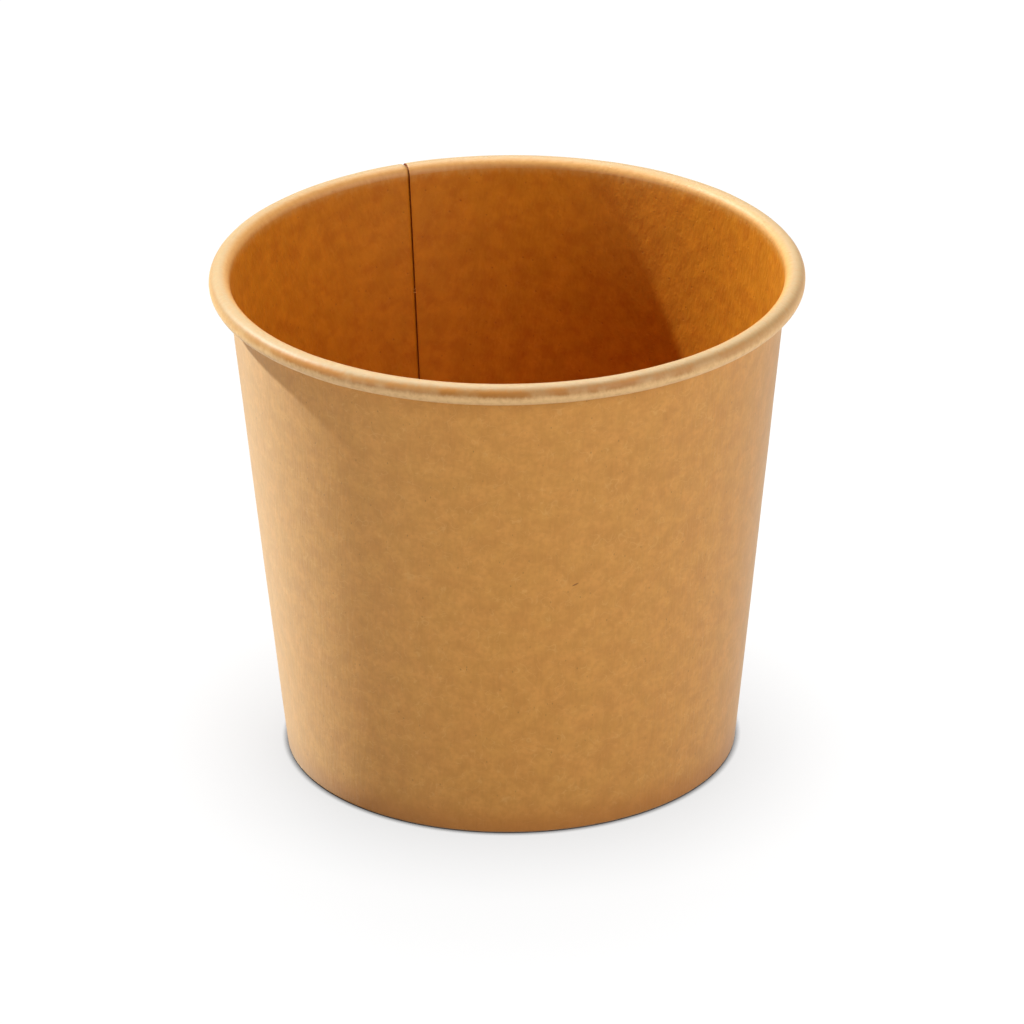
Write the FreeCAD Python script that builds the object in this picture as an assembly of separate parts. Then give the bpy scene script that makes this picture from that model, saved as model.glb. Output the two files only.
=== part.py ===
import FreeCAD, Part
import math
import os

# A paper soup container, made from two blanks of coated brown board.
#
# side_wall    a fan-shaped blank wrapped into a cone. Its two straight edges lap and are heat-sealed,
#              its top edge is curled outwards into the rolled rim, and its bottom edge is folded up
#              inside as a hem.
# bottom_disc  a round blank drawn into a shallow cap. Its skirt points down and is sealed in the
#              fold between the wall and the hem, so the bottom stands clear of the table.
#
# Millimetres. Z is the axis of the container, and the origin is the centre of its foot, at the table.

# Overall sizes
RIM_DIAMETER = 98.0       # over the rolled rim, which is the size that a lid fits over
HEIGHT = 85.0             # table to top of rim
BASE_DIAMETER = 75.0      # outside of the wall, carried straight down to the table

# Board
WALL_BOARD = 0.42         # thickness of the side blank
DISC_BOARD = 0.36         # thickness of the bottom blank
SEAL_FILM = 0.03          # melted coating on each side of the skirt

# Rolled rim
ROLL_WIDTH = 3.54         # across the section of the roll
TUCK_TURN = 80.0          # degrees that the edge turns back up inside the roll
TUCK_CLEARANCE = 0.08     # between the tucked edge and the doubled wall at the lap
LAP_CURL_SHORT = 12.0     # degrees by which the covered end of the blank curls less

# Folded foot
HEM_HEIGHT = 6.5          # table to the hem's raw edge
SKIRT_CLEARANCE = 0.12    # between the skirt's raw edge and the bottom of the fold
PRESSED_DEPTH = 0.20      # by which the notched end of the blank is pressed into the fold's land

# Bottom disc
DISC_ABOVE_HEM = 1.5      # hem's raw edge to the underside of the disc
DISC_BEND_RADIUS = 0.80   # outside of the bend between disc and skirt

# Side seam
SEAM_AZIMUTH = 110.9      # degrees from +X of the cut edge that shows inside
LAP_WIDTH = 8.0           # overlap of the two ends of the blank, measured under the rim
JOGGLE_WIDTH = 1.5        # stretch in which the covered end steps outwards by one board
JOGGLE_STATIONS = 4       # sections that the step is lofted through

# Sizes that follow from those above
ROLL_RADIUS = ROLL_WIDTH / 2
ROLL_CENTRE_R = RIM_DIAMETER / 2 - ROLL_RADIUS
ROLL_CENTRE_Z = HEIGHT - ROLL_RADIUS
BASE_RADIUS = BASE_DIAMETER / 2
SKIRT_SPACE = DISC_BOARD + 2 * SEAL_FILM     # clear width of the fold
DISC_TOP_Z = HEM_HEIGHT + DISC_ABOVE_HEM + DISC_BOARD

# The wall leans out from the table until its outside touches the inside of the roll.
LEAN = (
    math.atan2(ROLL_CENTRE_R - BASE_RADIUS, ROLL_CENTRE_Z)
    - math.asin((ROLL_RADIUS - WALL_BOARD) / math.hypot(ROLL_CENTRE_R - BASE_RADIUS, ROLL_CENTRE_Z))
)
LEAN_DEGREES = math.degrees(LEAN)
UP_THE_WALL = 90.0 - LEAN_DEGREES
DOWN_THE_WALL = -90.0 - LEAN_DEGREES

# The tuck is as wide as the space that two boards leave inside the roll.
TUCK_RADIUS = (
    ROLL_RADIUS * (1 + math.sin(LEAN)) - 2 * WALL_BOARD - TUCK_CLEARANCE
) / (1 + math.sin(LEAN))

LAP_ANGLE = math.degrees(LAP_WIDTH / ROLL_CENTRE_R)
JOGGLE_ANGLE = math.degrees(JOGGLE_WIDTH / ROLL_CENTRE_R)

AXIS_POINT = FreeCAD.Vector(0, 0, 0)
AXIS = FreeCAD.Vector(0, 0, 1)


def section_point(radius, height):
    """Point of the section plane, which is the XZ plane."""
    return FreeCAD.Vector(radius, 0, height)


def turned(point, centre, degrees):
    """The point turned in the section plane, anticlockwise with X to the right and Z up."""
    angle = math.radians(degrees)
    across = point.x - centre.x
    along = point.z - centre.z
    return section_point(
        centre.x + across * math.cos(angle) - along * math.sin(angle),
        centre.z + across * math.sin(angle) + along * math.cos(angle),
    )


class SheetSection:
    """Section of a folded sheet, drawn along its food side with the board on the right."""

    def __init__(self, start, heading, board):
        self.point = start
        self.heading = heading
        self.board = board
        self.food_side = []
        self.back_side = []

    def to_the_right(self, distance):
        """Step from the food side into the board."""
        angle = math.radians(self.heading)
        return section_point(math.sin(angle), -math.cos(angle)) * distance

    def straight(self, length):
        angle = math.radians(self.heading)
        start = self.point
        end = start + section_point(math.cos(angle), math.sin(angle)) * length
        through = self.to_the_right(self.board)
        self.food_side.append(Part.LineSegment(start, end).toShape())
        self.back_side.append(Part.LineSegment(end + through, start + through).toShape())
        self.point = end

    def bend(self, radius, degrees):
        """Turn left for positive degrees and right for negative ones, at that food-side radius."""
        side = -1 if degrees > 0 else 1
        start = self.point
        centre = start + self.to_the_right(side * radius)
        middle = turned(start, centre, degrees / 2)
        end = turned(start, centre, degrees)
        self.food_side.append(Part.Arc(start, middle, end).toShape())
        self.bend_back(centre, degrees)
        self.point = end

    def crease(self, degrees):
        """A bend to the left that is sharp on the food side, as a scored board folds."""
        self.bend_back(self.point, degrees)

    def bend_back(self, centre, degrees):
        """The back of the board in a bend, which goes round the same centre."""
        start = self.point + self.to_the_right(self.board)
        middle = turned(start, centre, degrees / 2)
        end = turned(start, centre, degrees)
        self.back_side.append(Part.Arc(end, middle, start).toShape())
        self.heading += degrees

    def wire(self):
        """Closed outline: along the food side, across the cut edge, and back."""
        back_side = self.back_side[::-1]
        last_cut = Part.LineSegment(
            self.food_side[-1].lastVertex(True).Point, back_side[0].firstVertex(True).Point
        )
        first_cut = Part.LineSegment(
            back_side[-1].lastVertex(True).Point, self.food_side[0].firstVertex(True).Point
        )
        return Part.Wire(self.food_side + [last_cut.toShape()] + back_side + [first_cut.toShape()])

    def face(self):
        return Part.Face(self.wire())


def wall_line_radius(height):
    """Radius of the wall's food side at a height, where the wall is a single board."""
    return BASE_RADIUS + height * math.tan(LEAN) - WALL_BOARD / math.cos(LEAN)


def draw_hem_and_fold(section, shift):
    """Down the hem, round the inner crease, along the land and round the outer crease."""
    section.straight((HEM_HEIGHT - WALL_BOARD) / math.cos(LEAN))
    section.crease(-DOWN_THE_WALL)
    section.straight((SKIRT_SPACE + shift) / math.cos(LEAN))
    section.crease(UP_THE_WALL)


def draw_wall(section, shift):
    """Straight up to where the wall runs into the roll."""
    roll_start_z = ROLL_CENTRE_Z + (ROLL_RADIUS - shift) * math.sin(LEAN)
    section.straight((roll_start_z - section.point.z) / math.cos(LEAN))


def draw_roll(section, shift, tucked):
    """Curl over the top, down the outside and back underneath, in that order.

    The free end is then tucked, except at the lap, where another board curls round this one.
    """
    radius = ROLL_RADIUS - shift
    section.bend(radius, -UP_THE_WALL)
    section.bend(radius, -90.0)
    if tucked:
        section.bend(radius, -90.0)
        section.bend(TUCK_RADIUS, -TUCK_TURN)
    else:
        section.bend(radius, LAP_CURL_SHORT - 90.0)


def hemmed_section(shift, tucked):
    """Full section of the side blank, with the wall and roll moved outwards by a shift."""
    hem_foot_r = wall_line_radius(WALL_BOARD) - SKIRT_SPACE / math.cos(LEAN)
    hem_top_r = hem_foot_r + (HEM_HEIGHT - WALL_BOARD) * math.tan(LEAN)
    section = SheetSection(section_point(hem_top_r, HEM_HEIGHT), DOWN_THE_WALL, WALL_BOARD)
    draw_hem_and_fold(section, shift)
    draw_wall(section, shift)
    draw_roll(section, shift, tucked)
    return section


def notched_section():
    """Section of the end that shows inside: its corner is notched, so it has no fold or hem.

    It stands on the land of the other end, pressed in a little, inside that end's wall and roll.
    """
    start_z = WALL_BOARD - PRESSED_DEPTH
    start = section_point(wall_line_radius(start_z), start_z)
    section = SheetSection(start, UP_THE_WALL, WALL_BOARD)
    draw_wall(section, 0.0)
    draw_roll(section, 0.0, tucked=True)
    return section


def sweep(section, from_azimuth, to_azimuth):
    """Solid of a section carried round the axis from one azimuth to another."""
    solid = section.face().revolve(AXIS_POINT, AXIS, to_azimuth - from_azimuth)
    return solid.rotated(AXIS_POINT, AXIS, from_azimuth)


def joggle():
    """The narrow stretch beside the seam in which the blank steps out by one board, in an S."""
    stations = []
    for index in range(JOGGLE_STATIONS):
        share = index / (JOGGLE_STATIONS - 1)
        shift = WALL_BOARD * (3 * share**2 - 2 * share**3)
        azimuth = SEAM_AZIMUTH + JOGGLE_ANGLE * (1 - share)
        outline = hemmed_section(shift, tucked=False).wire()
        stations.append(outline.rotated(AXIS_POINT, AXIS, azimuth))
    return Part.makeLoft(stations, True, False)


def side_wall():
    """The wrapped blank: one board all round, two at the lap, joined where they are sealed."""
    lap_start = SEAM_AZIMUTH - LAP_ANGLE
    single_start = SEAM_AZIMUTH + JOGGLE_ANGLE
    single = sweep(hemmed_section(0.0, tucked=True), single_start, lap_start + 360.0)
    inner_end = sweep(notched_section(), lap_start, SEAM_AZIMUTH)
    outer_end = sweep(hemmed_section(WALL_BOARD, tucked=False), lap_start, SEAM_AZIMUTH)
    return single.fuse([inner_end, outer_end, joggle()]).removeSplitter()


def bottom_disc():
    """Flat disc and skirt. The skirt is parallel to the wall and hangs in the fold."""
    bend_z = DISC_TOP_Z - DISC_BEND_RADIUS
    skirt_line_r = wall_line_radius(bend_z) - SEAL_FILM / math.cos(LEAN)
    flat_radius = skirt_line_r - DISC_BEND_RADIUS / math.cos(LEAN)
    skirt_start_z = bend_z - DISC_BEND_RADIUS * math.sin(LEAN)
    skirt_end_z = WALL_BOARD + SKIRT_CLEARANCE
    section = SheetSection(section_point(0.0, DISC_TOP_Z), 0.0, DISC_BOARD)
    section.straight(flat_radius)
    section.bend(DISC_BEND_RADIUS, DOWN_THE_WALL)
    section.straight((skirt_start_z - skirt_end_z) / math.cos(LEAN))
    return sweep(section, 0.0, 360.0)


def export(name, shape):
    """Write one node, which must be a single closed solid."""
    if len(shape.Solids) != 1 or not shape.isValid():
        raise ValueError(name + " is not one valid solid")
    shape.Solids[0].exportStep("parts/" + name + ".step")


os.makedirs("parts", exist_ok=True)
export("side_wall", side_wall())
export("bottom_disc", bottom_disc())
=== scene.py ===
import math

import bmesh
import bpy
from mathutils import Matrix, Vector


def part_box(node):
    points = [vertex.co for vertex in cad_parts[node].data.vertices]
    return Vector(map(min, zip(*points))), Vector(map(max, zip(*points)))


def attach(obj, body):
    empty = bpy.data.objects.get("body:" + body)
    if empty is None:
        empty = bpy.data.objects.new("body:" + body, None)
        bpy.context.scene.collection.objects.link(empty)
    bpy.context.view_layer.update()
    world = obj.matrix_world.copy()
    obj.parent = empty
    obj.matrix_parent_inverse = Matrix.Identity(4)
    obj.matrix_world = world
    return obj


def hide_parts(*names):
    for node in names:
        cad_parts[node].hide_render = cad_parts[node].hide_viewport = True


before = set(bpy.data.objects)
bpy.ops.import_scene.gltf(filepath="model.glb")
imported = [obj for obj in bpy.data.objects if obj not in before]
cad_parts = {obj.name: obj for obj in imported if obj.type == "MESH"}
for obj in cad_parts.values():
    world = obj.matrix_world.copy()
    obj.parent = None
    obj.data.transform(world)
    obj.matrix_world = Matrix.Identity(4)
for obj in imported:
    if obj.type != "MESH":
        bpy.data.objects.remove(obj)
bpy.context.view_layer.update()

# Side wall
# One fan-shaped blank of brown board with a clear film on its food side, wrapped into a cone. Its
# straight edges are lapped and heat-sealed, its top edge is curled outwards into the rim, and its
# bottom edge is folded up inside as the hem that holds the bottom's skirt.
wall_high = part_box("side_wall")[1]
rim_radius = max(wall_high.x, wall_high.y)
container_height = wall_high.z
base_radius = 0.0375           # outside of the wall, carried straight down to the table
wall_board = 0.00042
seal_film = 0.00003
roll_radius = 0.00177          # outside of the rolled rim's section
tuck_turn = 80.0               # degrees that the raw edge turns up inside the roll
tuck_clearance = 0.00008       # between the tucked edge and the two boards of the lap
skirt_space = 0.00042          # clear width of the fold
fold_radius = 0.00006          # food side of the two creases of the fold
fold_lift = 0.00001            # keeps the corners of the fold's facets off the table
hem_height = 0.0065
knurl_low = 0.001              # the hem's grooves run between these heights
knurl_high = 0.006
knurl_depth = 0.00010
knurl_pitch = 4                # columns of faces from one groove to the next
single_columns = 348           # columns of faces round the single board

seam_azimuth = 110.9           # degrees from +X of the cut edge that shows inside
lap_angle = 9.70               # degrees
lap_columns = 10
lap_curl_short = 12.0          # degrees by which the covered end of the blank curls less
lap_edge_short = 0.12          # degrees by which the covered end stops short of the step over it
joggle_width = 0.0012          # stretch beside the seam in which the covered end steps outwards
unsealed_gap = 0.00005         # by which the covered board stands off right at the cut edge

# Shares of the joggle at which the covered end is given a ring. The last is past the cut edge, where
# the two boards are sealed again.
joggle_shares = (0.17, 0.34, 0.49, 0.62, 0.74, 0.84, 0.93, 1.0, 1.9)

roll_centre = Vector((rim_radius - roll_radius, 0.0, container_height - roll_radius))
crease_z = wall_board + fold_radius + fold_lift
lean = math.atan2(roll_centre.x - base_radius, roll_centre.z) - math.asin(
    (roll_radius - wall_board) / math.hypot(roll_centre.x - base_radius, roll_centre.z)
)
up_the_wall = 90.0 - math.degrees(lean)
down_the_wall = -90.0 - math.degrees(lean)
tuck_radius = roll_radius - (2 * wall_board + tuck_clearance) / (1 + math.sin(lean))


def start_piece(name, radius, height):
    """A new piece in edit mode, whose mesh is one point of a section in the XZ plane."""
    bpy.ops.object.select_all(action="DESELECT")
    bpy.ops.mesh.primitive_plane_add(size=0.001, location=(radius, 0.0, height))
    piece = bpy.context.object
    piece.name = name
    piece.data.name = name
    bpy.ops.object.transform_apply()
    bpy.ops.object.mode_set(mode="EDIT")
    bpy.ops.mesh.select_mode(type="VERT")
    bpy.ops.mesh.merge(type="CENTER")
    return {"piece": piece, "at": Vector((radius, 0.0, height)), "heading": 0.0}


def draw_straight(pen, length, parts):
    """Extrude the point along the pen's heading."""
    angle = math.radians(pen["heading"])
    step = Vector((math.cos(angle), 0.0, math.sin(angle))) * (length / parts)
    for _ in range(parts):
        bpy.ops.mesh.extrude_region_move(TRANSFORM_OT_translate={"value": step})
    pen["at"] = pen["at"] + step * parts


def draw_bend(pen, radius, degrees, parts):
    """Spin the point to the left for positive degrees, and to the right for negative ones."""
    angle = math.radians(pen["heading"])
    side = math.copysign(1.0, degrees)
    centre = pen["at"] + Vector((-math.sin(angle), 0.0, math.cos(angle))) * radius * side
    bpy.ops.mesh.spin(steps=parts, angle=math.radians(degrees), center=centre, axis=(0, 1, 0))
    pen["heading"] += degrees
    angle = math.radians(pen["heading"])
    pen["at"] = centre - Vector((-math.sin(angle), 0.0, math.cos(angle))) * radius * side


def measure_path(piece):
    """Give each point of the drawn section its distance from the first, along the board."""
    board = bmesh.from_edit_mesh(piece.data)
    along = board.verts.layers.float.new("along")
    board.verts.layers.float.new("around")
    board.verts.ensure_lookup_table()
    point = board.verts[0]
    walked = {point}
    while True:
        onward = [edge.other_vert(point) for edge in point.link_edges]
        onward = [vert for vert in onward if vert not in walked]
        if not onward:
            break
        onward[0][along] = point[along] + (onward[0].co - point.co).length
        point = onward[0]
        walked.add(point)
    bmesh.update_edit_mesh(piece.data)


def select_points(piece, wanted):
    """Select the points, and what lies between them, for which wanted is true."""
    bpy.ops.mesh.select_all(action="DESELECT")
    board = bmesh.from_edit_mesh(piece.data)
    along = board.verts.layers.float["along"]
    around = board.verts.layers.float["around"]
    for vert in board.verts:
        if wanted(vert.co, vert[along], vert[around]):
            vert.select = True
    board.select_flush_mode()
    bmesh.update_edit_mesh(piece.data)


def note_azimuth(piece, value):
    """Write down each selected point's azimuth on the blank, which value works out from its own."""
    board = bmesh.from_edit_mesh(piece.data)
    around = board.verts.layers.float["around"]
    for vert in board.verts:
        if vert.select:
            vert[around] = value(math.degrees(math.atan2(vert.co.y, vert.co.x)) % 360.0)
    bmesh.update_edit_mesh(piece.data)


lap_start = seam_azimuth - lap_angle
single_start = seam_azimuth + math.degrees(joggle_width / roll_centre.x)
single_turn = lap_start + 360.0 - single_start
hem_foot_z = crease_z + fold_radius * math.sin(lean)
crease_radius = base_radius + crease_z * math.tan(lean) - crease_z / math.cos(lean)
land_length = (skirt_space - 2 * fold_radius) / math.cos(lean)
hem_foot_radius = crease_radius - land_length - fold_radius * math.cos(lean)
hem_length = (hem_height - hem_foot_z) / math.cos(lean)

# The section runs down the hem, round the fold, up the wall and round the roll, on the food side.
hem_top_radius = hem_foot_radius + (hem_height - hem_foot_z) * math.tan(lean)
pen = start_piece("side_wall_blank", hem_top_radius, hem_height)
side_wall = pen["piece"]
pen["heading"] = down_the_wall
draw_straight(pen, hem_length, parts=8)
draw_bend(pen, fold_radius, -down_the_wall, parts=4)
draw_straight(pen, land_length, parts=2)
draw_bend(pen, fold_radius, up_the_wall, parts=4)
wall_start = pen["at"].copy()
wall_length = (roll_centre.z + roll_radius * math.sin(lean) - wall_start.z) / math.cos(lean)
draw_straight(pen, wall_length, parts=27)
draw_bend(pen, roll_radius, -up_the_wall, parts=9)
draw_bend(pen, roll_radius, -90.0, parts=8)
draw_bend(pen, roll_radius, -90.0, parts=8)
draw_bend(pen, tuck_radius, -tuck_turn, parts=6)
measure_path(side_wall)

# Distances along the board at which its parts begin, and how near counts as the same place
wall_from = hem_length + fold_radius * math.pi + land_length
roll_from = wall_from + wall_length
tuck_from = roll_from + roll_radius * math.radians(180.0 + up_the_wall)
covered_until = tuck_from - roll_radius * math.radians(lap_curl_short)
near = 0.00001
near_degrees = 0.02
weld_distance = 0.000002

# One board all round. A positive spin turns clockwise, seen from above, so the sweep runs from the lap
# round to the joggle.
bpy.ops.mesh.select_all(action="SELECT")
bpy.ops.transform.rotate(
    value=-math.radians(lap_start), orient_axis="Z", center_override=(0, 0, 0)
)
bpy.ops.mesh.spin(
    steps=single_columns, angle=math.radians(single_turn), center=(0, 0, 0), axis=(0, 0, 1)
)
bpy.ops.mesh.select_all(action="SELECT")
note_azimuth(side_wall, lambda azimuth: azimuth if azimuth > seam_azimuth else azimuth + 360.0)


def spin_end(towards_azimuth, from_azimuth, wanted):
    """Carry an end ring of the board, as far along it as wanted, round to another azimuth."""
    select_points(side_wall, lambda co, along, around: (
        abs(around - from_azimuth) < near_degrees and wanted(along)
    ))
    turn = math.radians(from_azimuth - towards_azimuth)
    bpy.ops.mesh.spin(steps=1, angle=turn, center=(0, 0, 0), axis=(0, 0, 1))
    note_azimuth(side_wall, lambda azimuth: towards_azimuth)


# The covered end. It steps outwards by one board beside the seam, with its fold but not its hem, curls
# inside the other end's roll, and has no tuck.
azimuth = single_start
shift = 0.0
for share in joggle_shares:
    next_azimuth = single_start - share * (single_start - seam_azimuth)
    next_shift = (wall_board + seal_film + unsealed_gap) * min(share, 1.0) ** 3
    if share > 1.0:
        next_shift = wall_board + seal_film
    spin_end(next_azimuth, azimuth, lambda along: along < covered_until)
    turned = math.radians(next_azimuth)
    outwards = Vector((math.cos(turned), math.sin(turned), 0.0))
    select_points(side_wall, lambda co, along, around: (
        abs(around - next_azimuth) < near_degrees and hem_length - near < along < roll_from - near
    ))
    bpy.ops.transform.translate(value=outwards * (next_shift - shift) / math.cos(lean))
    select_points(side_wall, lambda co, along, around: (
        abs(around - next_azimuth) < near_degrees and along > roll_from - near
    ))
    shrink = (roll_radius - next_shift) / (roll_radius - shift)
    ring_centre = outwards * roll_centre.x + Vector((0.0, 0.0, roll_centre.z))
    bpy.ops.transform.resize(value=(shrink, shrink, shrink), center_override=ring_centre)
    azimuth = next_azimuth
    shift = next_shift
covered_end = lap_start + lap_edge_short
covered_columns = lap_columns - 1
for column in range(covered_columns):
    next_azimuth = azimuth + (covered_end - azimuth) / (covered_columns - column)
    spin_end(next_azimuth, azimuth, lambda along: along < covered_until)
    azimuth = next_azimuth


# The hem is knurled, which presses it on to the skirt: it stands proud between the grooves.
def is_groove(around):
    column = (around - single_start) / (single_turn / single_columns)
    return round(column) % knurl_pitch == 0


select_points(side_wall, lambda co, along, around: (
    along < hem_length and knurl_low < co.z < knurl_high and not is_groove(around)
))
proud = 1.0 - knurl_depth / hem_foot_radius
bpy.ops.transform.resize(value=(proud, proud, 1.0), center_override=(0, 0, 0))

# The end that shows inside. Its lower corner is notched, so it stands in the fold and has no hem.
azimuth = lap_start + 360.0
shown_end = seam_azimuth + 360.0
for column in range(lap_columns):
    next_azimuth = azimuth + (shown_end - azimuth) / (lap_columns - column)
    spin_end(next_azimuth, azimuth, lambda along: along > wall_from - near)
    azimuth = next_azimuth

# The faces look towards the axis, so that the board gets its thickness behind the food side.
bpy.ops.mesh.select_all(action="SELECT")
bpy.ops.mesh.remove_doubles(threshold=weld_distance)
bpy.ops.mesh.select_all(action="SELECT")
bpy.ops.mesh.normals_make_consistent(inside=False)
board = bmesh.from_edit_mesh(side_wall.data)
wall_front = Vector((0.0, -0.042, 0.045))
front_face = min(board.faces, key=lambda face: (face.calc_center_median() - wall_front).length)
if front_face.normal.y < 0.0:
    bpy.ops.mesh.flip_normals()
bpy.ops.object.mode_set(mode="OBJECT")


def lay_out_blank(piece, place):
    """UV map named blank: the piece's points where they lie on the flat blank, in metres."""
    while piece.data.uv_layers:
        piece.data.uv_layers.remove(piece.data.uv_layers[0])
    blank = piece.data.uv_layers.new(name="blank")
    along = piece.data.attributes["along"].data
    around = piece.data.attributes["around"].data
    for loop in piece.data.loops:
        vert = loop.vertex_index
        blank.data[loop.index].uv = place(along[vert].value, around[vert].value)


def place_on_fan(along, around):
    """A cone rolls out flat into a fan, which turns less by the sine of the cone's lean."""
    from_apex = wall_start.x / math.sin(lean) + along - wall_from
    angle = math.radians(around - (seam_azimuth + 180.0)) * math.sin(lean)
    return from_apex * math.sin(angle), from_apex * math.cos(angle)


def apply_modifier(piece, kind, **settings):
    """Add a modifier with these settings and apply it."""
    bpy.ops.object.select_all(action="DESELECT")
    piece.select_set(True)
    bpy.context.view_layer.objects.active = piece
    modifier = piece.modifiers.new(kind.title(), kind)
    for setting, value in settings.items():
        setattr(modifier, setting, value)
    bpy.ops.object.modifier_apply(modifier=modifier.name)


def add_node(tree, kind, **settings):
    """A shader node. Each setting is a property, or else the value of the input of that name."""
    node = tree.nodes.new("ShaderNode" + kind)
    for setting, value in settings.items():
        if hasattr(node, setting):
            setattr(node, setting, value)
        else:
            node.inputs[setting.replace("_", " ")].default_value = value
    return node


def stretch(tree, value, low, high, least=0.0, most=1.0):
    """Smoothly from least, where the value is low, to most, where it is high."""
    node = add_node(
        tree, "MapRange", interpolation_type="SMOOTHSTEP",
        From_Min=low, From_Max=high, To_Min=least, To_Max=most,
    )
    tree.links.new(value, node.inputs["Value"])
    return node.outputs["Result"]


def combine(tree, operation, first, second):
    """Arithmetic on the output of a node and either another output or a number."""
    node = add_node(tree, "Math", operation=operation)
    tree.links.new(first, node.inputs[0])
    if isinstance(second, float):
        node.inputs[1].default_value = second
    else:
        tree.links.new(second, node.inputs[1])
    return node.outputs[0]


def blend_colours(tree, amount, below, above):
    """Mix two colours, each a plain colour or the output of a node."""
    node = add_node(tree, "Mix", data_type="RGBA")
    tree.links.new(amount, node.inputs[0])
    for socket, colour in ((node.inputs[6], below), (node.inputs[7], above)):
        if isinstance(colour, tuple):
            socket.default_value = (*colour, 1.0)
        else:
            tree.links.new(colour, socket)
    return node.outputs[2]


def build_board_grain():
    """What shows in a natural board: clouds, streaks along the grain, fibres, specks and a relief."""
    group = bpy.data.node_groups.new("board_grain", "ShaderNodeTree")
    group.interface.new_socket("Place", in_out="INPUT", socket_type="NodeSocketVector")
    outputs = ("Clouds", "Tint", "Streaks", "Grain", "Fibres", "Specks", "Pits", "Coating", "Nap")
    for name in outputs:
        group.interface.new_socket(name, in_out="OUTPUT", socket_type="NodeSocketFloat")
    place = group.nodes.new("NodeGroupInput").outputs["Place"]
    result = group.nodes.new("NodeGroupOutput")

    def drawn_out(across, up):
        """The place on the blank, counted in cells of this width and height."""
        node = add_node(group, "Mapping", vector_type="TEXTURE", Scale=(across, up, 1.0))
        group.links.new(place, node.inputs["Vector"])
        return node.outputs["Vector"]

    def noise(scale, detail, seed, vector=place):
        node = add_node(
            group, "TexNoise", noise_dimensions="4D", Scale=scale, Detail=detail, W=seed
        )
        group.links.new(vector, node.inputs["Vector"])
        return node.outputs["Fac"]

    def thread(scale, seed):
        """Curly lines, broken into lengths."""
        away = combine(group, "SUBTRACT", noise(scale, detail=1.0, seed=seed), 0.5)
        line = stretch(group, combine(group, "ABSOLUTE", away, 0.0), 0.014, 0.0)
        kept = stretch(group, noise(scale, detail=0.0, seed=seed + 7.0), 0.5, 0.62)
        return combine(group, "MULTIPLY", line, kept)

    def spots(vector, scale, radius, rarest, commonest):
        """Round spots in some cells of a scattering, each fading out at its radius in cells."""
        cells = add_node(group, "TexVoronoi", feature="F1", Scale=scale)
        group.links.new(vector, cells.inputs["Vector"])
        chosen = add_node(group, "SeparateColor")
        group.links.new(cells.outputs["Color"], chosen.inputs[0])
        spot = stretch(group, cells.outputs["Distance"], radius, radius * 0.3)
        return combine(
            group, "MULTIPLY", spot, stretch(group, chosen.outputs[0], rarest, commonest)
        )

    along_grain = drawn_out(across=0.00045, up=0.0030)
    drawn = drawn_out(across=0.0017, up=0.0032)
    clouds = stretch(group, noise(scale=330.0, detail=4.0, seed=1.0), 0.32, 0.68)
    tint = stretch(group, noise(scale=210.0, detail=4.0, seed=2.0), 0.36, 0.64)
    streaks = noise(scale=1.0, detail=2.0, seed=3.0, vector=along_grain)
    streaks = stretch(group, streaks, 0.3, 0.7)
    grain = stretch(group, noise(scale=1100.0, detail=3.0, seed=9.0), 0.4, 0.7)
    fibres = combine(
        group, "MAXIMUM", thread(scale=420.0, seed=5.0), thread(scale=560.0, seed=6.0)
    )
    fibres = combine(group, "MAXIMUM", thread(scale=300.0, seed=4.0), fibres)
    specks = spots(drawn, scale=1.8, radius=0.15, rarest=0.3, commonest=1.0)
    pits = spots(place, scale=620.0, radius=0.16, rarest=0.3, commonest=0.8)
    blisters = spots(place, scale=1300.0, radius=0.45, rarest=0.3, commonest=0.9)
    leather = noise(scale=2.2, detail=1.0, seed=8.0, vector=drawn)
    coating = combine(
        group, "ADD", combine(group, "MULTIPLY", leather, 0.8),
        combine(group, "MULTIPLY", blisters, 0.15),
    )
    coating = combine(group, "SUBTRACT", coating, combine(group, "MULTIPLY", pits, 0.3))
    nap = combine(
        group, "ADD", combine(group, "MULTIPLY", leather, 0.5),
        combine(group, "MULTIPLY", streaks, 0.3),
    )
    for name, value in zip(
        outputs, (clouds, tint, streaks, grain, fibres, specks, pits, coating, nap)
    ):
        group.links.new(value, result.inputs[name])
    return group


board_grain = build_board_grain()


def board_material(name, ground, layers, roughness, relief, depth, **gloss):
    """Board with layers of colour from the grain over its ground, and a relief of some depth."""
    material = bpy.data.materials.new(name)
    material.use_nodes = True
    tree = material.node_tree
    surface = tree.nodes["Principled BSDF"]
    for socket, value in gloss.items():
        surface.inputs[socket.replace("_", " ")].default_value = value
    place = add_node(tree, "UVMap", uv_map="blank")
    grain = add_node(tree, "Group", node_tree=board_grain)
    tree.links.new(place.outputs["UV"], grain.inputs["Place"])
    colour = ground
    for output, share, above in layers:
        amount = combine(tree, "MULTIPLY", grain.outputs[output], share)
        colour = blend_colours(tree, amount, colour, above)
    tree.links.new(colour, surface.inputs["Base Color"])
    rough = add_node(tree, "MapRange", To_Min=roughness[0], To_Max=roughness[1])
    tree.links.new(grain.outputs[relief], rough.inputs["Value"])
    tree.links.new(rough.outputs["Result"], surface.inputs["Roughness"])
    bump = add_node(tree, "Bump", Strength=1.0, Distance=depth)
    tree.links.new(grain.outputs[relief], bump.inputs["Height"])
    tree.links.new(bump.outputs["Normal"], surface.inputs["Normal"])
    return material


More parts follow.
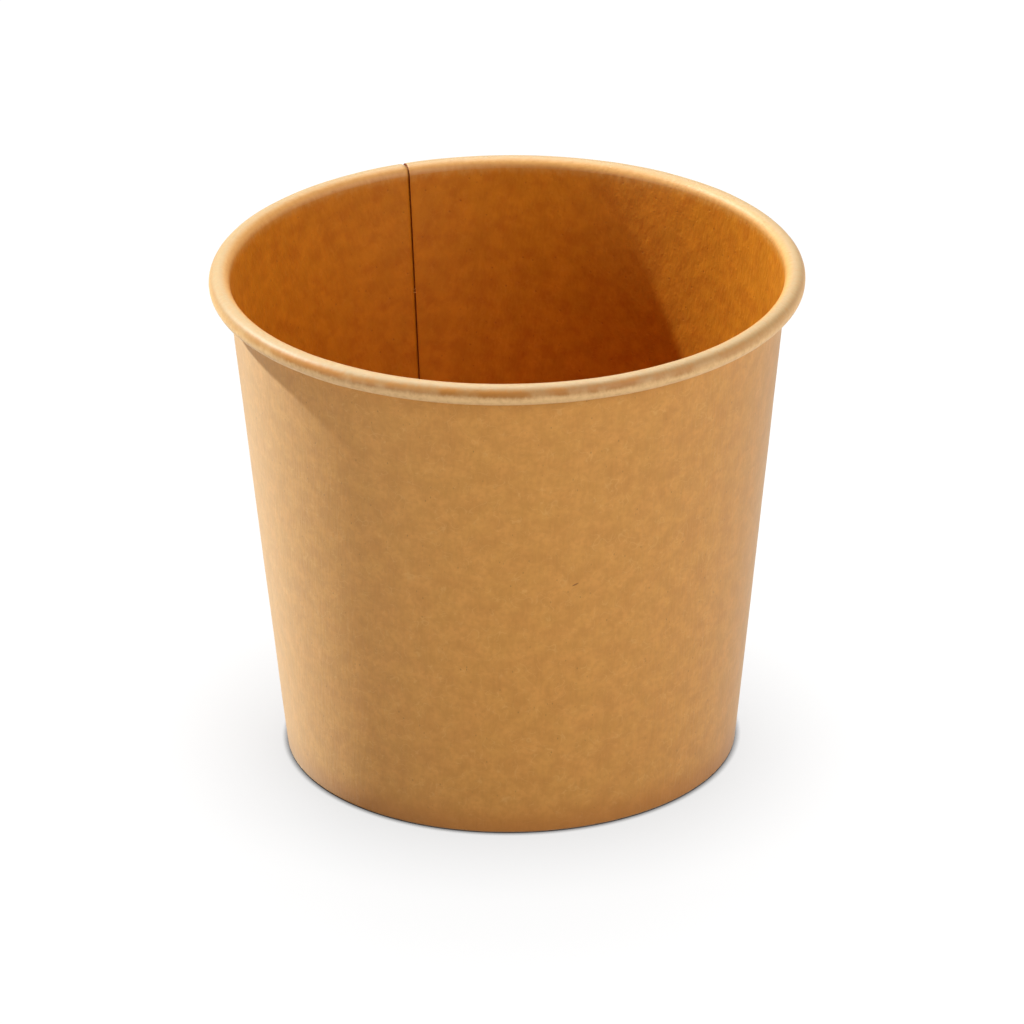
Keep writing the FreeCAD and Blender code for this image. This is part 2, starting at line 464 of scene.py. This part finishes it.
film_ground = (0.395, 0.112, 0.002)
film_pale = (0.53, 0.178, 0.006)
film_layers = (
    ("Clouds", 1.0, film_pale),
    ("Tint", 0.5, (0.425, 0.146, 0.003)),
    ("Streaks", 0.2, film_pale),
    ("Grain", 0.2, film_ground),
    ("Fibres", 0.2, (0.56, 0.21, 0.025)),
    ("Specks", 0.4, (0.14, 0.040, 0.002)),
    ("Pits", 0.5, (0.24, 0.068, 0.002)),
)
film_side = board_material(
    "board_film_side", film_ground, film_layers,
    roughness=(0.55, 0.65), relief="Coating", depth=0.00014,
    Specular_IOR_Level=0.3, Specular_Tint=(1.0, 0.8, 0.45, 1.0),
    Coat_Weight=0.25, Coat_Roughness=0.4,
)
rolled_side = board_material(
    "board_rolled_film_side", film_ground, film_layers,
    roughness=(0.5, 0.65), relief="Coating", depth=0.00008,
    Specular_IOR_Level=0.5, Coat_Weight=0.15, Coat_Roughness=0.45,
)
bare_ground = (0.555, 0.228, 0.035)
bare_pale = (0.715, 0.314, 0.060)
bare_side = board_material(
    "board_bare_side", bare_ground, (
        ("Clouds", 0.85, bare_pale),
        ("Tint", 0.3, (0.61, 0.295, 0.044)),
        ("Streaks", 0.3, bare_pale),
        ("Grain", 0.55, bare_ground),
        ("Fibres", 0.35, (0.75, 0.40, 0.11)),
        ("Specks", 0.6, (0.26, 0.09, 0.010)),
    ),
    roughness=(0.5, 0.65), relief="Nap", depth=0.00004,
    Specular_IOR_Level=0.5, Specular_Tint=(1.0, 0.97, 0.8, 1.0),
    Sheen_Weight=0.45, Sheen_Roughness=0.5, Sheen_Tint=(1.0, 0.96, 0.8, 1.0),
)
# The cut edge is dark red-brown: partly its own raw colour, and partly painted shade of the seam's
# groove, where it shows as a dark line.
cut_side = board_material(
    "board_cut_edge", (0.19, 0.035, 0.003), (
        ("Clouds", 1.0, (0.26, 0.055, 0.006)),
        ("Fibres", 0.5, (0.35, 0.11, 0.02)),
        ("Specks", 0.7, (0.1, 0.018, 0.002)),
    ),
    roughness=(0.8, 0.95), relief="Nap", depth=0.00003,
)

# Places on the roll, as distances along the board, and the azimuths from which its painted streak of
# shade grows full
roll_crest = roll_from + roll_radius * math.radians(up_the_wall)
# The streak is painted shade: a brown band where the roll would mirror the dark front.
shade_streak_middle = roll_crest + roll_radius * math.radians(65.0)
shade_streak_half_width = 0.0012
shade_streak_core = 0.0002
shade_streak_rises = (200.0, 225.0)
shade_streak_falls = (345.0, 285.0)
shade_streak_elsewhere = 0.35        # of its strength in front on the left
# The roll's underside is painted pale between these, a painted reflection of the pale table.
table_reflection_from = shade_streak_middle - 0.0006
table_reflection_full = shade_streak_middle + 0.0008
film_edge_low = roll_from - 0.0013
film_edge_high = roll_from + 0.0010


def finish_roll(material, shoulder, over, table_reflection, streak):
    """Over the roll the film is stretched pale. Its underside is painted paler still, a painted
    reflection of the pale table, and a brown streak of painted shade, the dark front's reflection, runs
    crinkled down its outside, strongest in front on the left.
    """
    tree = material.node_tree
    surface = tree.nodes["Principled BSDF"]
    inside = surface.inputs["Base Color"].links[0].from_socket
    grain = next(node for node in tree.nodes if node.type == "GROUP")
    along = add_node(tree, "Attribute", attribute_name="along", attribute_type="GEOMETRY")
    along = along.outputs["Fac"]
    around = add_node(tree, "Attribute", attribute_name="around", attribute_type="GEOMETRY")
    around = around.outputs["Fac"]

    def crinkle(per_metre, per_degree, seed, depth):
        """Noise of so many waves a metre along the board, and so many a degree around."""
        spot = add_node(tree, "CombineXYZ")
        tree.links.new(combine(tree, "MULTIPLY", along, per_metre), spot.inputs["X"])
        tree.links.new(combine(tree, "MULTIPLY", around, per_degree), spot.inputs["Y"])
        node = add_node(
            tree, "TexNoise", noise_dimensions="4D", Scale=1.0, Detail=3.0, W=seed
        )
        tree.links.new(spot.outputs[0], node.inputs["Vector"])
        middled = combine(tree, "SUBTRACT", node.outputs["Fac"], 0.5)
        return combine(tree, "MULTIPLY", middled, depth)

    def fade_out(place, side):
        """Full at the core of the streak of painted shade and nothing at its edge, on one side of its
        middle.
        """
        edge = shade_streak_middle + side * shade_streak_half_width
        return stretch(tree, place, edge, shade_streak_middle + side * shade_streak_core)

    # Painted shade: the brown streak down the roll's outside, strongest in front on the left, with
    # crinkled edges.
    wander = combine(
        tree, "ADD", crinkle(per_metre=0.0, per_degree=0.06, seed=11.0, depth=0.0010),
        crinkle(per_metre=900.0, per_degree=1.6, seed=12.0, depth=0.0008),
    )
    place = combine(tree, "ADD", along, wander)
    across_shade_streak = combine(tree, "MULTIPLY", fade_out(place, -1), fade_out(place, 1))
    patches = crinkle(per_metre=120.0, per_degree=0.22, seed=13.0, depth=1.0)
    patches = stretch(tree, patches, -0.2, 0.1, least=0.45)
    shade_in_front_left = combine(
        tree, "MULTIPLY", stretch(tree, around, *shade_streak_rises), stretch(tree, around, *shade_streak_falls)
    )
    amount = combine(tree, "MULTIPLY", across_shade_streak, patches)
    share = combine(tree, "MULTIPLY", shade_in_front_left, 1.0 - shade_streak_elsewhere)
    share = combine(tree, "ADD", share, shade_streak_elsewhere)
    amount = combine(tree, "MULTIPLY", amount, share)

    pale = blend_colours(
        tree, stretch(tree, along, film_edge_high, roll_crest), shoulder, over
    )
    # Painted reflection of the pale table, lightening the roll's underside.
    below = stretch(tree, along, table_reflection_from, table_reflection_full)
    pale = blend_colours(tree, below, pale, table_reflection)
    mottled = combine(
        tree, "MAXIMUM", combine(tree, "MULTIPLY", grain.outputs["Grain"], 0.24),
        combine(tree, "MULTIPLY", grain.outputs["Specks"], 0.35),
    )
    pale = blend_colours(tree, mottled, pale, streak)
    pale = blend_colours(tree, amount, pale, streak)
    ragged = combine(
        tree, "ADD", along, crinkle(per_metre=500.0, per_degree=0.8, seed=14.0, depth=0.0022)
    )
    rolled = stretch(tree, ragged, film_edge_low, film_edge_high)
    tree.links.new(blend_colours(tree, rolled, inside, pale), surface.inputs["Base Color"])


# The brown streak colour is painted shade on the roll, and is also used for the roll's mottle.
for material in (film_side, rolled_side):
    # The pale underside colour is a painted reflection of the table.
    finish_roll(
        material, shoulder=(0.52, 0.25, 0.055), over=(0.340, 0.215, 0.086),
        table_reflection=(0.85, 0.53, 0.23), streak=(0.40, 0.148, 0.011),
    )

foot_shade_height = 0.006         # of the band of painted shade at the foot
fleck_azimuth = 284.5
fleck_z = 0.0467
fleck_length = 0.0012
fleck_width = 0.00028
fleck_tilt = 23.0              # degrees


def finish_outside(material, foot_shade, fleck):
    """The board has painted shade towards the foot, and one fleck of bark in front."""
    tree = material.node_tree
    surface = tree.nodes["Principled BSDF"]
    colour = surface.inputs["Base Color"].links[0].from_socket
    along = add_node(tree, "Attribute", attribute_name="along", attribute_type="GEOMETRY")
    # Painted shade: the board is darker towards the foot.
    foot = stretch(tree, along.outputs["Fac"], wall_from + foot_shade_height, wall_from, most=0.6)
    colour = blend_colours(tree, foot, colour, foot_shade)

    place = add_node(tree, "UVMap", uv_map="blank")
    fleck_along = wall_from + (fleck_z - wall_start.z) / math.cos(lean)
    across, up = place_on_fan(fleck_along, fleck_azimuth)
    in_fleck = add_node(
        tree, "Mapping", vector_type="TEXTURE", Location=(across, up, 0.0),
        Rotation=(0.0, 0.0, math.radians(fleck_tilt)),
        Scale=(fleck_length / 2, fleck_width / 2, 1.0),
    )
    tree.links.new(place.outputs["UV"], in_fleck.inputs["Vector"])
    away = add_node(tree, "VectorMath", operation="LENGTH")
    tree.links.new(in_fleck.outputs["Vector"], away.inputs[0])
    amount = stretch(tree, away.outputs["Value"], 1.3, 0.5)
    colour = blend_colours(tree, amount, colour, fleck)
    tree.links.new(colour, surface.inputs["Base Color"])


outside = bare_side.copy()
outside.name = "board_outside"
finish_outside(outside, foot_shade=(0.44, 0.130, 0.004), fleck=(0.26, 0.075, 0.006))

# The first three are the food side, the back and the cut edge of the wall, and the others the roll's.
for material in (film_side, outside, cut_side, rolled_side, outside, cut_side):
    side_wall.data.materials.append(material)
rolled_slot = 3
distances = side_wall.data.attributes["along"].data
for face in side_wall.data.polygons:
    if min(distances[vert].value for vert in face.vertices) > roll_from - near:
        face.material_index = rolled_slot

lay_out_blank(side_wall, place_on_fan)

# The board is a little uneven above the foot, and the roll is a little crinkled.
for name, first, last, size, depth in (
    ("uneven_wall", wall_from, wall_from + 0.012, 0.014, 0.00010),
    ("crinkled_roll", roll_from, roll_from + 0.001, 0.004, 0.00004),
):
    weights = side_wall.vertex_groups.new(name=name)
    for vert, along in zip(side_wall.data.vertices, side_wall.data.attributes["along"].data):
        share = min(max((along.value - first) / (last - first), 0.0), 1.0)
        weights.add([vert.index], share, "REPLACE")
    clouds = bpy.data.textures.new(name, "CLOUDS")
    clouds.noise_scale = size
    clouds.noise_depth = 1
    apply_modifier(
        side_wall, "DISPLACE", texture=clouds, strength=depth, mid_level=1.0,
        texture_coords="LOCAL", vertex_group=name,
    )


def thicken_board(piece, thickness):
    """Give the board its thickness behind the food side, with a material for the back and the cut."""
    apply_modifier(
        piece, "SOLIDIFY", thickness=thickness, offset=-1.0, use_even_offset=True,
        use_quality_normals=True, material_offset=1, material_offset_rim=2,
    )


def smooth_piece(piece):
    """Smooth shading, with the cut edges left sharp."""
    bpy.ops.object.select_all(action="DESELECT")
    piece.select_set(True)
    bpy.context.view_layer.objects.active = piece
    bpy.ops.object.shade_smooth_by_angle(angle=math.radians(40.0))


thicken_board(side_wall, wall_board)
cut_edge_rounding = 0.00004
apply_modifier(
    side_wall, "BEVEL", width=cut_edge_rounding, segments=2, limit_method="ANGLE",
    angle_limit=math.radians(60.0),
)
smooth_piece(side_wall)
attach(side_wall, "root")
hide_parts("side_wall")

# Seam fibres
# Two fibres of the board, torn out where the blank was cut. They lie across the groove beside the cut
# edge inside, about two centimetres below the rim, and the film holds them there.
fibre_side = board_material(
    "board_fibre", (0.60, 0.26, 0.06), (
        ("Clouds", 1.0, (0.75, 0.36, 0.10)),
        ("Grain", 0.5, (0.50, 0.20, 0.04)),
    ),
    roughness=(0.6, 0.8), relief="Nap", depth=0.00001,
)
fibre_halves = (0.00027, 0.00007, 0.00006)        # half its length, width and thickness
fibre_places = ((0.0635, 9.0), (0.0629, -6.0))    # height, and tilt in degrees
fibre_map_size = 0.001
past_cut_edge = 0.22                              # degrees from the cut edge to a fibre's middle
fibre_azimuth = math.radians(seam_azimuth + past_cut_edge)
fibres = []
for fibre_z, tilt in fibre_places:
    fibre_radius = base_radius + fibre_z * math.tan(lean) - wall_board / math.cos(lean)
    fibre_x = fibre_radius * math.cos(fibre_azimuth)
    fibre_y = fibre_radius * math.sin(fibre_azimuth)
    bpy.ops.mesh.primitive_uv_sphere_add(
        segments=12, ring_count=8, radius=1.0, scale=fibre_halves,
        location=(fibre_x, fibre_y, fibre_z),
        rotation=(0.0, math.radians(tilt), fibre_azimuth + math.pi / 2),
    )
    fibres.append(bpy.context.object)
bpy.ops.object.select_all(action="DESELECT")
for fibre in fibres:
    fibre.select_set(True)
bpy.ops.object.join()
seam_fibres = bpy.context.object
seam_fibres.name = "seam_fibres"
bpy.ops.object.transform_apply()

# A sphere's own map fills a unit square, which is scaled down to the size of the fibres.
blank = seam_fibres.data.uv_layers[0]
blank.name = "blank"
for corner in blank.data:
    corner.uv = corner.uv * fibre_map_size
seam_fibres.data.materials.append(fibre_side)
smooth_piece(seam_fibres)
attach(seam_fibres, "root")

# Bottom
# A round blank of thinner board, its film side up. Its edge is drawn down into a skirt, which is sealed
# in the fold of the foot, so the bottom stands clear of the table.
bottom_low, bottom_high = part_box("bottom_disc")
disc_board = 0.00036
bend_radius = 0.00080
bend_z = bottom_high.z - bend_radius
wall_line = base_radius + bend_z * math.tan(lean) - wall_board / math.cos(lean)
flat_radius = wall_line - (seal_film + bend_radius) / math.cos(lean)
pen = start_piece("bottom_blank", 0.0, bottom_high.z)
bottom = pen["piece"]
draw_straight(pen, flat_radius, parts=22)
draw_bend(pen, bend_radius, down_the_wall, parts=8)
draw_straight(pen, (pen["at"].z - bottom_low.z) / math.cos(lean), parts=5)
measure_path(bottom)
bpy.ops.mesh.select_all(action="SELECT")
bpy.ops.mesh.spin(steps=180, angle=math.radians(360.0), center=(0, 0, 0), axis=(0, 0, 1))
bpy.ops.mesh.select_all(action="SELECT")
bpy.ops.mesh.remove_doubles(threshold=weld_distance)
note_azimuth(bottom, lambda azimuth: azimuth)
bpy.ops.mesh.select_all(action="SELECT")
bpy.ops.mesh.normals_make_consistent(inside=False)
bpy.ops.object.mode_set(mode="OBJECT")
for material in (film_side, bare_side, cut_side):
    bottom.data.materials.append(material)
lay_out_blank(bottom, lambda along, around: (
    along * math.cos(math.radians(around)), along * math.sin(math.radians(around))
))
thicken_board(bottom, disc_board)
smooth_piece(bottom)
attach(bottom, "root")
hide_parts("bottom_disc")

# Floor
# A plain pale table top, just below the foot. It shows white, with the container's soft shade on it,
# and it gives back light as a mid grey.
scene = bpy.context.scene
scene.view_settings.view_transform = "Standard"
bpy.ops.object.select_all(action="DESELECT")
floor_size = 6.0
floor_drop = 0.00002           # keeps the floor clear of the foot
bpy.ops.mesh.primitive_plane_add(size=floor_size, location=(0.0, 0.0, -floor_drop))
floor = bpy.context.object
floor.name = "floor"


def show_or_light(tree, shown, lighting, output):
    """One shader for what is seen, straight or in a gloss or glass, and one for the light given."""
    path = add_node(tree, "LightPath")
    by_gloss = combine(
        tree, "MAXIMUM", path.outputs["Is Glossy Ray"], path.outputs["Is Transmission Ray"]
    )
    either = add_node(tree, "MixShader")
    tree.links.new(
        combine(tree, "MAXIMUM", path.outputs["Is Camera Ray"], by_gloss), either.inputs[0]
    )
    tree.links.new(lighting.outputs[0], either.inputs[1])
    tree.links.new(shown.outputs[0], either.inputs[2])
    end = add_node(tree, output)
    tree.links.new(either.outputs[0], end.inputs[0])


def openness(tree, distance, closed, opened, least, most):
    """From least to most, as what is open within the distance goes from closed to opened."""
    around = add_node(tree, "AmbientOcclusion", samples=16, Distance=distance)
    node = add_node(
        tree, "MapRange", From_Min=closed, From_Max=opened, To_Min=least, To_Max=most
    )
    tree.links.new(around.outputs["AO"], node.inputs["Value"])
    return node.outputs["Result"]


floor_paint = bpy.data.materials.new("floor_paint")
floor_paint.use_nodes = True
tree = floor_paint.node_tree
tree.nodes.clear()
crevice = openness(tree, distance=0.0015, closed=0.3, opened=0.85, least=0.0, most=0.91)
half_shade = openness(tree, distance=0.025, closed=0.5, opened=1.0, least=0.85, most=1.0)
glow = add_node(tree, "Emission", Color=(1.0, 1.0, 1.0, 1.0))
tree.links.new(combine(tree, "MULTIPLY", crevice, half_shade), glow.inputs["Strength"])
shown_matt = add_node(tree, "BsdfDiffuse", Color=(0.10, 0.10, 0.10, 1.0))
shown = add_node(tree, "AddShader")
tree.links.new(shown_matt.outputs[0], shown.inputs[0])
tree.links.new(glow.outputs[0], shown.inputs[1])
matt = add_node(tree, "BsdfDiffuse", Color=(0.5, 0.5, 0.5, 1.0))
show_or_light(tree, shown, matt, "OutputMaterial")
floor.data.materials.append(floor_paint)

# Light
# White surroundings that give only a little light, one small lamp high at the back left that draws the
# rim's shadow inside, and wide soft lamps above, behind, in front and low at either side.
world = bpy.data.worlds.new("studio")
scene.world = world
world.use_nodes = True
tree = world.node_tree
tree.nodes.clear()
air = add_node(tree, "Background", Color=(1.0, 1.0, 1.0, 1.0), Strength=0.06)
white = add_node(tree, "Background", Color=(1.0, 1.0, 1.0, 1.0), Strength=1.0)
show_or_light(tree, white, air, "OutputWorld")


lamp_distance = 1.5
lit_middle = Vector((0.0, 0.0, 0.06))


def hang_lamp(name, azimuth, elevation, size, power):
    """A square lamp that shines at the container's middle."""
    lamp = bpy.data.lights.new(name, "AREA")
    lamp.size = size
    lamp.energy = power
    holder = bpy.data.objects.new(name, lamp)
    scene.collection.objects.link(holder)
    turn = math.radians(azimuth)
    tilt = math.radians(elevation)
    away = Vector((
        math.cos(tilt) * math.cos(turn), math.cos(tilt) * math.sin(turn), math.sin(tilt)
    ))
    holder.location = lit_middle + away * lamp_distance
    holder.rotation_euler = away.to_track_quat("Z", "Y").to_euler()
    return holder


key_lamp = hang_lamp("key_lamp", azimuth=152.0, elevation=41.0, size=0.055, power=31.0)
key_lamp.data.color = (0.90, 1.0, 0.98)
hang_lamp("top_lamp", azimuth=90.0, elevation=80.0, size=1.0, power=15.5)
hang_lamp("back_lamp", azimuth=90.0, elevation=57.0, size=0.9, power=14.2)
hang_lamp("left_lamp", azimuth=214.0, elevation=8.0, size=0.5, power=5.0)
hang_lamp("right_lamp", azimuth=-5.0, elevation=12.0, size=0.7, power=3.3)
hang_lamp("front_lamp", azimuth=-48.0, elevation=25.0, size=0.9, power=11.0)

# The key lamp lights the container alone, so that the floor has no hard shadow.
lit_by_key = bpy.data.collections.new("lit_by_key")
for piece in (side_wall, bottom):
    lit_by_key.objects.link(piece)
key_lamp.light_linking.receiver_collection = lit_by_key

# Camera
# It looks down at 25 degrees from the front, from far enough away that upright lines hardly draw
# together, with the container in the middle.
camera_data = bpy.data.cameras.new("camera")
camera_data.sensor_width = 36.0
camera_data.lens = 316.2
camera = bpy.data.objects.new("camera", camera_data)
scene.collection.objects.link(camera)
camera_distance = 1.4925
camera_tilt = 0.4356           # radians
camera_roll = -0.0092          # radians
aim = Vector((0.000436, 0.0, 0.04065))
away = Vector((0.0, -math.cos(camera_tilt), math.sin(camera_tilt)))
camera.location = aim + camera_distance * away
level = Matrix.Rotation(math.pi / 2 - camera_tilt, 3, "X")
camera.rotation_euler = (level @ Matrix.Rotation(camera_roll, 3, "Z")).to_euler()
scene.camera = camera
